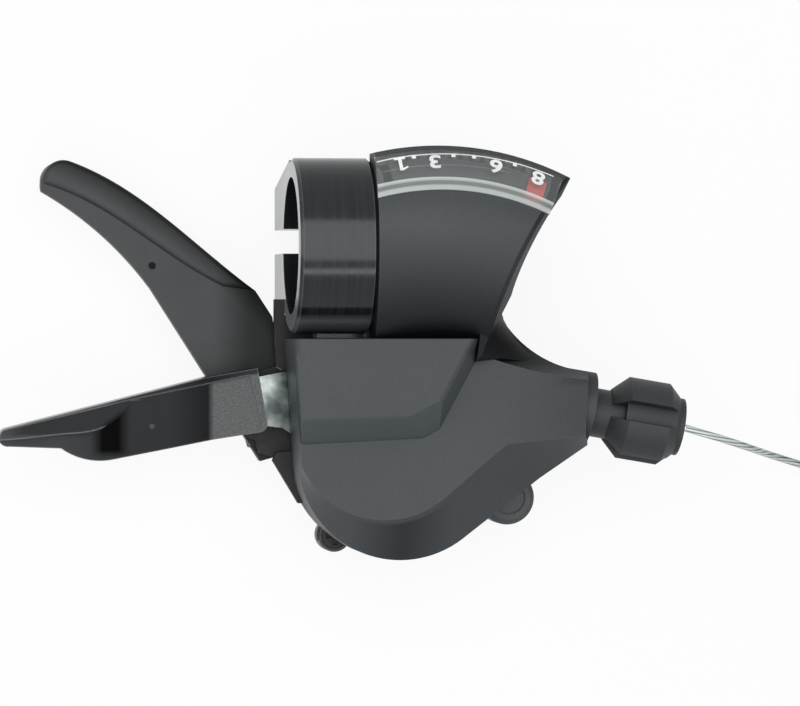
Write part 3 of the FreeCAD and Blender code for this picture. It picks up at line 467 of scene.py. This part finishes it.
def grip_polish(tree):
    """Painted sheen on the grip: along its lip, and all round the tip."""
    lip = times(tree, inverse(tree, along(tree, "X", *GRIP_TIP_X)),
                inverse(tree, along(tree, "Y", *GRIP_LIP_Y)))
    return math_node(tree, "MAXIMUM", lip, inverse(tree, along(tree, "X", *GRIP_END_X)))


def grip_shade(tree):
    """Painted shade: falls in the hollow behind the finger's scoop, and a little towards the rough field.
    """
    hollow = times(tree, within(tree, "X", *GRIP_HOLLOW_X, GRIP_HOLLOW_SOFT),
                   along(tree, "Y", *GRIP_HOLLOW_Y), inverse(tree, past_plane(tree, *GRIP_BACK)))
    root = within(tree, "X", *GRIP_ROOT_X, GRIP_ROOT_SOFT)
    return times(tree, between(tree, hollow, 1.0, GRIP_HOLLOW_SHADE),
                 between(tree, root, 1.0, GRIP_ROOT_SHADE))


def grip_wear(tree):
    """Edges of the grip, worn and given a painted highlight, most towards the tip and none where the
    scoop runs out.
    """
    no_wear_highlight = times(tree, within(tree, "X", *GRIP_NO_WEAR_HIGHLIGHT_X, GRIP_NO_WEAR_HIGHLIGHT_SOFT),
                   along(tree, "Y", *GRIP_NO_WEAR_HIGHLIGHT_Y), inverse(tree, past_plane(tree, *GRIP_RIDGE)))
    amount = between(tree, along(tree, "X", *GRIP_HOLLOW_X), *GRIP_WEAR_HIGHLIGHT)
    return times(tree, worn_edge(tree), amount, inverse(tree, no_wear_highlight))


# Materials

def moulded(name, colour, roughness, grain=2600.0, depth=0.25, specular=0.3, wear_highlight=0.3, corner_shade=None,
            shade=None, light=None):
    """Moulded resin: a fine spark-eroded grain, slow changes of tone and gloss, and lighter edges,
    partly wear and partly a painted highlight.

    The corner reach (grime) is how far into corners the resin gets a painted shade. A shade, a painted
    shade, gives the share of the colour that is left at each place, and light the places that are paler,
    painted light."""
    material, tree, shader = new_material(name)
    slow = noise(tree, 90.0)
    fine = noise(tree, grain, 2.0)
    mottle = math_node(tree, "ADD", times(tree, slow, 0.5), times(tree, fine, 0.5))
    body = ramp(tree, mottle, *([c * part for c in colour] for part in RESIN_MOTTLE))
    # Lighter edges: partly wear from handling, partly a painted highlight
    edge = times(tree, worn_edge(tree), wear_highlight)
    body = blend_colour(tree, edge, body, tuple(min(1.0, c * RESIN_WORN_HIGHLIGHT) for c in colour))
    # Painted shade in corners, darker the deeper they are
    if corner_shade:
        open_face = span(tree, in_corners(tree, corner_shade), 0.0, 1.0, *OPEN_CORNER)
        body = blend_colour(tree, open_face, tuple(c * RESIN_CORNER_SHADE for c in colour), body)
    if light:
        body = blend_colour(tree, light(tree), body, tuple(c * RESIN_LIT for c in colour))
    if shade:
        share = shade(tree)
        body = blend_colour(tree, share, BLACK, body)
        specular = between(tree, share, SHADED_GLOSS, specular)
    connect(tree, specular, shader.inputs["Specular IOR Level"])
    tree.links.new(body, shader.inputs["Base Color"])
    tree.links.new(span(tree, slow, roughness - 0.05, roughness + 0.06), shader.inputs["Roughness"])
    bump(tree, shader, fine, depth, 0.06)
    return material


def metal(name, colour, roughness, grain=900.0, depth=0.04, metallic=1.0, specular=0.5):
    """Plated or drawn metal with fine scratches."""
    material, tree, shader = new_material(name)
    slow = noise(tree, 160.0)
    fine = noise(tree, grain, 4.0, 0.7)
    body = ramp(tree, slow, *([min(1.0, c * part) for c in colour] for part in METAL_MOTTLE))
    tree.links.new(body, shader.inputs["Base Color"])
    tree.links.new(span(tree, fine, roughness - 0.04, roughness + 0.06), shader.inputs["Roughness"])
    shader.inputs["Metallic"].default_value = metallic
    shader.inputs["Specular IOR Level"].default_value = specular
    bump(tree, shader, fine, depth, 0.02)
    return material


def brushed_band():
    """Black anodised aluminium, brushed round the bar, with lighter edges that are partly wear and
    partly a painted highlight, and a painted reflection on its low side and its end face.
    """
    material, tree, shader = new_material("band_anodised")
    stretch = tree.nodes.new("ShaderNodeMapping")
    stretch.inputs["Scale"].default_value = BRUSH_SCALE
    tree.links.new(coordinate(tree), stretch.inputs["Vector"])
    brush = tree.nodes.new("ShaderNodeTexNoise")
    brush.inputs["Scale"].default_value = 1.0
    brush.inputs["Detail"].default_value = 3.0
    tree.links.new(stretch.outputs[0], brush.inputs["Vector"])
    lines = brush.outputs["Fac"]
    end_face = span(tree, facing(tree, "X"), 1.0, 0.0, *BAND_END_FACE)
    body = ramp(tree, lines, BAND_DARK, BAND_LIGHT)
    # Painted reflection: paler on the low side, light grey on the end face; edges lighter as wear and a
    # painted highlight
    body = blend_colour(tree, along(tree, "Y", *BAND_LOW_Y), BAND_PALE, body)
    body = blend_colour(tree, end_face, body, BAND_END)
    body = blend_colour(tree, times(tree, worn_edge(tree), 0.5), body, BAND_WORN_HIGHLIGHT)
    tree.links.new(body, shader.inputs["Base Color"])
    tree.links.new(span(tree, lines, 0.13, 0.21), shader.inputs["Roughness"])
    shader.inputs["Specular IOR Level"].default_value = 0.3
    bump(tree, shader, lines, 0.02, 0.02)
    return material


def plated_root():
    """Zinc-plated steel with random streaks, darker towards the pod it comes out of: a painted shade and
    reflection of the dark pod.
    """
    material, tree, shader = new_material("zinc_steel")
    slow = noise(tree, 240.0, 2.0)
    fine = noise(tree, 900.0, 4.0, 0.7)
    # Painted shade and reflection of the dark pod, growing towards the pod
    pod_shade = times(tree, along(tree, "X", *ROOT_X), 0.45)
    streak = math_node(tree, "ADD", pod_shade, times(tree, slow, 1.2))
    body = ramp(tree, streak, ROOT_PALE, ROOT_SHADED, 0.45, 1.0)
    tree.links.new(body, shader.inputs["Base Color"])
    tree.links.new(span(tree, fine, 0.22, 0.32), shader.inputs["Roughness"])
    shader.inputs["Metallic"].default_value = 1.0
    bump(tree, shader, slow, 0.15, 0.3)
    return material


def finger_grip():
    """Glossy black resin, with a rough grey field near the steel root."""
    material, tree, shader = new_material("grip_resin")
    field_x = along(tree, "X", *GRIP_FIELD_X)
    rough = times(tree, field_x, inverse(tree, past_plane(tree, *GRIP_RIM)))
    grain = noise(tree, 3600.0, 2.0, 0.6)
    slow = noise(tree, 70.0)
    gloss = ramp(tree, slow, GRIP_BLACK, GRIP_PALE)
    # Painted sheen along the lip and round the tip
    gloss = blend_colour(tree, times(tree, grip_polish(tree), slow), gloss, GRIP_SHEEN)
    mark = from_axis(tree, GRIP_MARK, GRIP_MARK_R, 1.0, 0.0)
    gloss = blend_colour(tree, mark, gloss, GRIP_MARK_GREY)
    # Painted shade in the hollow and towards the rough field
    share = math_node(tree, "MAXIMUM", grip_shade(tree), rough)
    gloss = blend_colour(tree, share, BLACK, gloss)
    field = ramp(tree, grain, FIELD_DARK, FIELD_PALE)
    body = blend_colour(tree, rough, gloss, field)
    # Edges lighter as wear and a painted highlight
    body = blend_colour(tree, grip_wear(tree), body, GRIP_WORN_HIGHLIGHT)
    tree.links.new(body, shader.inputs["Base Color"])
    tree.links.new(between(tree, rough, 0.2, 0.7), shader.inputs["Roughness"])
    tree.links.new(between(tree, share, 0.0, 0.1), shader.inputs["Specular IOR Level"])
    bump(tree, shader, times(tree, grain, between(tree, rough, 0.1, 1.0)), 0.4, 0.1)
    return material


def clear_window():
    """Clear resin, frosted along its inner bevel."""
    material, tree, shader = new_material("window_clear")
    frost = span(tree, facing(tree, "Z"), 0.0, 1.0, *FROSTED_FACE)
    across = from_axis(tree, DIAL, (WINDOW_IN[0], WINDOW_IN[0] + WINDOW_BEVEL), 0.0, 1.0)
    milk = tree.nodes.new("ShaderNodeValToRGB")
    for stop_at, level in BEVEL_BANDS:
        stop = milk.color_ramp.elements.new(stop_at)
        stop.color = (level * 0.92, level, level * 0.98, 1)
    tree.links.new(across, milk.inputs["Fac"])
    body = blend_colour(tree, frost, WINDOW_TINT, milk.outputs["Color"])
    tree.links.new(body, shader.inputs["Base Color"])
    tree.links.new(between(tree, frost, 0.04, 0.25), shader.inputs["Roughness"])
    tree.links.new(between(tree, frost, 0.94, 0.5), shader.inputs["Transmission Weight"])
    shader.inputs["IOR"].default_value = 1.45
    bump(tree, shader, noise(tree, 300.0), 0.05, 0.05)
    return material


def stranded_wire():
    """Galvanised wire rope: strands that wind round it, with a painted shade in the grooves between them.
    """
    material, tree, shader = new_material("wire_strands")
    turns = times(tree, place(tree, "X", "UV"), CABLE_LENGTH / STRAND_PITCH)
    phase = math_node(tree, "ADD", turns, times(tree, place(tree, "Y", "UV"), STRANDS))
    wave = math_node(tree, "SINE", times(tree, phase, 2 * math.pi))
    crest = span(tree, wave, 0.0, 1.0, -1.0, 1.0)
    # Painted shade in the grooves between the strands
    body = ramp(tree, crest, WIRE_GROOVE_SHADE, WIRE_PALE, 0.1, 0.6)
    tree.links.new(body, shader.inputs["Base Color"])
    tree.links.new(span(tree, noise(tree, 1500.0), 0.32, 0.45), shader.inputs["Roughness"])
    shader.inputs["Metallic"].default_value = 0.85
    bump(tree, shader, wave, 0.5, 0.08)
    return material


MATERIALS = {
    # The corner reach on the cover and the knob gives a painted shade in their corners
    "cover_plastic": moulded("cover_plastic", (0.037, 0.043, 0.047), 0.5, depth=0.4, corner_shade=9.0,
                             shade=cover_shade, light=cover_light),
    "casing_plastic": moulded("casing_plastic", (0.048, 0.053, 0.057), 0.45),
    "band_anodised": brushed_band(),
    "zinc_steel": plated_root(),
    "black_steel": metal("black_steel", (0.015, 0.015, 0.015), 0.45, metallic=0.0, specular=0.2),
    "lever_resin": moulded("lever_resin", (0.026, 0.029, 0.0305), 0.5, 2000.0, 0.4, shade=lever_shade),
    "grip_resin": finger_grip(),
    "window_clear": clear_window(),
    "pointer_red": moulded("pointer_red", (0.62, 0.06, 0.04), 0.45, wear_highlight=0.1),
    "drum_resin": moulded("drum_resin", (0.6, 0.6, 0.57), 0.45, wear_highlight=0.1),
    "knob_plastic": moulded("knob_plastic", (0.024, 0.027, 0.030), 0.5, corner_shade=5.0),
    "collar_brass": metal("collar_brass", (0.75, 0.58, 0.28), 0.3),
    "spring_steel": metal("spring_steel", (0.5, 0.5, 0.5), 0.3),
    "wire_steel": metal("wire_steel", (0.5, 0.53, 0.53), 0.35, 2500.0, 0.3),
    "tie_plastic": moulded("tie_plastic", (0.03, 0.03, 0.03), 0.45),
    "crimp_aluminium": metal("crimp_aluminium", (0.7, 0.7, 0.71), 0.32),
}
WIRE = stranded_wire()
PRINT_WHITE = moulded("print_white", (0.8, 0.82, 0.82), 0.5, wear_highlight=0.0)
PRINT_GREY = moulded("print_grey", (0.2, 0.22, 0.22), 0.5, wear_highlight=0.0)


# CAD nodes: materials, soft edges

def dress_nodes():
    slots = {s["node"]: s["material_slot"] for s in frame["record"]["subparts"]}
    for name, obj in NODES.items():
        obj.data.materials.clear()
        obj.data.materials.append(MATERIALS[slots[name]])
        edge = obj.modifiers.new("edge", "BEVEL")
        edge.width = EDGE_WIDTH * MM
        edge.segments = 3
        edge.limit_method = "ANGLE"
        edge.angle_limit = math.radians(EDGE_ANGLE)
        edge.harden_normals = True


# Dial print

def window_height(r):
    slope = (WINDOW_IN[1] - WINDOW_OUT[1]) / (WINDOW_OUT[0] - WINDOW_IN[0])
    return WINDOW_OUT[1] + slope * (WINDOW_OUT[0] - r)


def on_window(r, degrees):
    a = math.radians(degrees)
    return Vector((DIAL[0] + r * math.cos(a), DIAL[1] + r * math.sin(a), window_height(r) + PRINT_LIFT))


def line_r(degrees):
    """Radius of the scale line, which comes closer to the rim towards its right end."""
    share = (LINE_LEFT[0] - degrees) / (LINE_LEFT[0] - LINE_RIGHT[0])
    return LINE_LEFT[1] + share * (LINE_RIGHT[1] - LINE_LEFT[1])


def add_object(name, data):
    obj = bpy.data.objects.new(name, data)
    bpy.context.scene.collection.objects.link(obj)
    return obj


def arc_strip(name, band, a0, a1, steps, ink):
    """A printed band on the window, between two distances from the scale line."""
    vertices = []
    for k in range(steps + 1):
        a = a0 + (a1 - a0) * k / steps
        vertices += [on_window(line_r(a) + offset, a) * MM for offset in band]
    faces = [(2 * k, 2 * k + 1, 2 * k + 3, 2 * k + 2) for k in range(steps)]
    mesh = bpy.data.meshes.new(name)
    mesh.from_pydata(vertices, [], faces)
    mesh.materials.append(ink)
    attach(add_object(name, mesh), "housing")


def flat_one():
    """A figure one with a flag and a foot, drawn one high and scaled to the digits' height."""
    mesh = bpy.data.meshes.new("figure_one")
    strokes = [[(-0.08, -0.5), (0.1, -0.5), (0.1, 0.5), (-0.08, 0.5)],
               [(-0.27, -0.5), (-0.08, -0.5), (-0.08, -0.36), (-0.27, -0.36)],
               [(0.1, -0.5), (0.29, -0.5), (0.29, -0.36), (0.1, -0.36)],
               [(-0.34, 0.2), (-0.08, 0.33), (-0.08, 0.5), (-0.34, 0.34)]]
    points = [(x * DIGIT_HEIGHT, y * DIGIT_HEIGHT, 0) for stroke in strokes for x, y in stroke]
    faces = [range(4 * k, 4 * k + 4) for k in range(len(strokes))]
    mesh.from_pydata(points, [], [list(face) for face in faces])
    return mesh


def flat_figure(gear):
    """A gear number as a flat mesh, in millimetres."""
    if gear == 1:
        return flat_one()
    curve = bpy.data.curves.new(f"gear_{gear}", "FONT")
    curve.body = str(gear)
    curve.size = DIGIT_FONT
    curve.align_x = "CENTER"
    curve.align_y = "CENTER"
    curve.offset = DIGIT_BOLD
    shape = add_object(f"gear_{gear}", curve)
    bpy.context.view_layer.update()
    mesh = bpy.data.meshes.new_from_object(shape.evaluated_get(bpy.context.evaluated_depsgraph_get()))
    bpy.data.objects.remove(shape)
    return mesh


def digit(gear):
    """A gear number on the window, upright for the rider."""
    mesh = flat_figure(gear)
    a = GEAR_ANGLES[gear - 1]
    r = line_r(a) - DIGIT_IN
    centre = on_window(r, a)
    up = (on_window(r - 1, a) - centre).normalized()
    across = (on_window(r, a + 0.1) - centre).normalized()
    out = across.cross(up)
    turn = Matrix((across, up, out)).transposed().to_4x4()
    wide = Matrix.Diagonal((DIGIT_WIDE, 1, 1, 1))
    mesh.transform(Matrix.Scale(MM, 4) @ Matrix.Translation(centre) @ turn @ wide)
    mesh.materials.clear()
    mesh.materials.append(PRINT_WHITE)
    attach(add_object(f"dial_number_{gear}", mesh), "housing")


def dial_print():
    arc_strip("dial_line", LINE_BAND, LINE_RIGHT[0], LINE_LEFT[0], 48, PRINT_WHITE)
    arc_strip("dial_hairline", HAIRLINE_BAND, *HAIRLINE_SPAN, 40, PRINT_GREY)
    for gear, a in enumerate(GEAR_ANGLES, 1):
        if gear in NUMBERED_GEARS:
            digit(gear)
        else:
            arc_strip(f"dial_tick_{gear}", TICK_BAND, a - TICK_HALF, a + TICK_HALF, 2, PRINT_WHITE)


# Gear cable

def cable_points():
    """The given route, then level on level of turns, and a last turn over them into the end cap."""
    points = [Vector(CABLE_EXIT)] + [Vector(p) for p in CABLE_ROUTE]
    end, before = points[-1], points[-2]
    last = (end - before).normalized()
    side = Vector((-last.y, last.x, 0)).normalized()
    centre = end + side * (COIL_R + CABLE_D / 2 + COIL_GAP)
    angle = math.atan2(end.y - centre.y, end.x - centre.x)
    r, z = COIL_R, end.z
    inner = COIL_R - COIL_TURNS * CABLE_D

    def go(turns, r_end, z_end):
        nonlocal angle, r, z
        count = max(2, round(turns * COIL_STEPS))
        r0, z0 = r, z
        for k in range(1, count + 1):
            angle += turns * 2 * math.pi / count
            r = r0 + (r_end - r0) * k / count
            z = z0 + (z_end - z0) * k / count
            points.append(Vector((centre.x + r * math.cos(angle), centre.y + r * math.sin(angle), z)))

    angle += 2 * math.pi / COIL_STEPS
    for level in range(COIL_LEVELS):
        go(COIL_TURNS, inner if level % 2 == 0 else COIL_R, z)
        if level < COIL_LEVELS - 1:
            go(LEVEL_CLIMB, r, z + CABLE_D)
    cap_low, cap_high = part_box("cable_end_cap")
    cap = Vector(((cap_low[0], (cap_low[1] + cap_high[1]) / 2, (cap_low[2] + cap_high[2]) / 2))) / MM
    cap_angle = math.atan2(cap.y - centre.y, cap.x - centre.x)
    left = (cap_angle - angle) % (2 * math.pi) / (2 * math.pi) + 1
    go(LAST_CLIMB, r, cap.z)
    go(left - LAST_CLIMB, (cap - centre).to_2d().length, cap.z)
    points.append(cap + Vector((END_IN_CAP, 0, 0)))
    return points


def gear_cable():
    curve = bpy.data.curves.new("gear_cable", "CURVE")
    curve.dimensions = "3D"
    curve.bevel_depth = CABLE_D / 2 * MM
    curve.bevel_resolution = 3
    curve.resolution_u = 3
    points = cable_points()
    spline = curve.splines.new("NURBS")
    spline.points.add(len(points) - 1)
    for target, point in zip(spline.points, points):
        target.co = (*(point * MM), 1)
    spline.order_u = 3
    spline.use_endpoint_u = True
    curve.materials.append(WIRE)
    obj = add_object("gear_cable", curve)
    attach(obj, "housing")
    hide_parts("cable_run", "cable_coil")


# Stage: white background, pale floor, soft light

def white_for_camera(tree):
    """1 where the camera, gloss or glass looks, and 0 where a surface only lights the object."""
    path = tree.nodes.new("ShaderNodeLightPath")
    seen = math_node(tree, "MAXIMUM", path.outputs["Is Camera Ray"], path.outputs["Is Glossy Ray"])
    return math_node(tree, "MAXIMUM", seen, path.outputs["Is Transmission Ray"])


def floor():
    bpy.ops.mesh.primitive_plane_add(size=FLOOR_SIZE * MM, location=(0, 0, CAD_BOX[0][2] - FLOOR_DROP * MM))
    obj = bpy.context.active_object
    obj.name = "floor"
    material, tree, shader = new_material("floor_white")
    shader.inputs["Base Color"].default_value = (FLOOR_GREY, FLOOR_GREY, FLOOR_GREY, 1)
    shader.inputs["Roughness"].default_value = 0.9
    glow = tree.nodes.new("ShaderNodeEmission")
    mix = tree.nodes.new("ShaderNodeMixShader")
    tree.links.new(times(tree, white_for_camera(tree), FLOOR_WHITE), mix.inputs["Fac"])
    tree.links.new(shader.outputs[0], mix.inputs[1])
    tree.links.new(glow.outputs[0], mix.inputs[2])
    tree.links.new(mix.outputs[0], tree.nodes["Material Output"].inputs["Surface"])
    obj.data.materials.append(material)


def world():
    scene = bpy.context.scene
    scene.world = bpy.data.worlds.new("studio")
    scene.world.use_nodes = True
    tree = scene.world.node_tree
    back = tree.nodes["Background"]
    tree.links.new(between(tree, white_for_camera(tree), SKY_LEVEL, 1.0), back.inputs["Strength"])
    back.inputs["Color"].default_value = (1, 1, 1, 1)


def area_light(name, place_mm, target_mm, size_mm, power):
    data = bpy.data.lights.new(name, "AREA")
    data.shape = "RECTANGLE"
    data.size = size_mm[0] * MM
    data.size_y = size_mm[1] * MM
    data.energy = power
    obj = add_object(name, data)
    at = Vector(place_mm) * MM
    obj.location = at
    obj.rotation_euler = (Vector(target_mm) * MM - at).to_track_quat("-Z", "Y").to_euler()


def camera():
    tilt = math.radians(VIEW_TILT)
    lean = math.radians(VIEW_LEAN)
    above = Vector((-math.sin(tilt), 0, math.cos(tilt)))
    towards = above * math.cos(lean) + Vector((0, math.sin(lean), 0))
    up = Vector((0, math.cos(lean), 0)) - above * math.sin(lean)
    right = Vector((math.cos(tilt), 0, math.sin(tilt)))
    data = bpy.data.cameras.new("camera")
    data.sensor_width = SENSOR
    data.lens = PIXELS_PER_MM * VIEW_DISTANCE * SENSOR / IMAGE_WIDTH
    data.clip_end = 20
    obj = add_object("camera", data)
    obj.location = (Vector(VIEW_CENTRE) + towards * VIEW_DISTANCE) * MM
    obj.rotation_euler = Matrix((right, up, towards)).transposed().to_euler()
    bpy.context.scene.camera = obj


dress_nodes()
dial_print()
gear_cable()
floor()
world()
for lamp, setting in LAMPS.items():
    area_light(lamp, *setting)
camera()
bpy.context.scene.view_settings.view_transform = "Standard"
